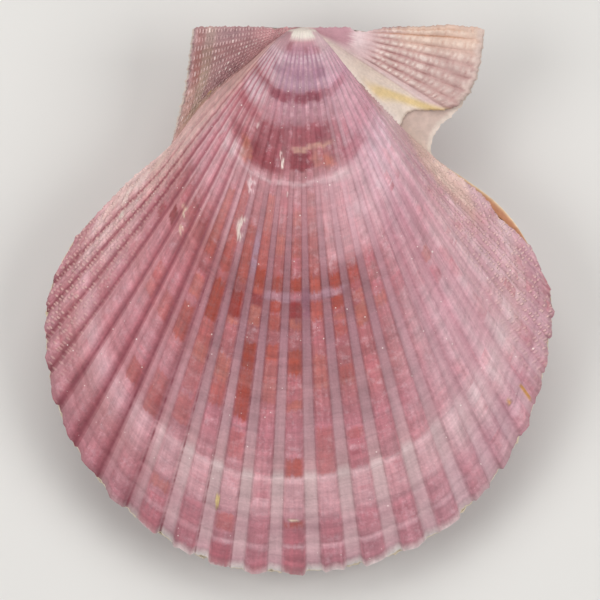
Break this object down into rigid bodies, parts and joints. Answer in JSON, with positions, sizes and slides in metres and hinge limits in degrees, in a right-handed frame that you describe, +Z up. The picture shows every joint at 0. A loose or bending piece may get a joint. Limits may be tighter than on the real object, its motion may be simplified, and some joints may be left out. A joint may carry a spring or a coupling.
{
  "type": "scallop shell",
  "caption": "Closed pair of fan-shaped ribbed scallop valves with eared hinge and byssal notch, rose pink, lying on its lower valve.",
  "frame": {"origin": "centre of the bounding box's bottom face, on the surface that the shell lies on", "axes": "+Y from the lower margin to the hinge, +X along the hinge towards the notched ear, +Z up"},
  "size_m": [0.0838, 0.0896, 0.0314],
  "materials": {
    "right_valve": "satin",
    "left_valve": "satin",
    "ligament": "matte"
  },
  "bodies": {
    "root": {"right_valve": "right_valve", "left_valve": "left_valve", "hinge_ligament": "ligament"}
  },
  "joints": []
}
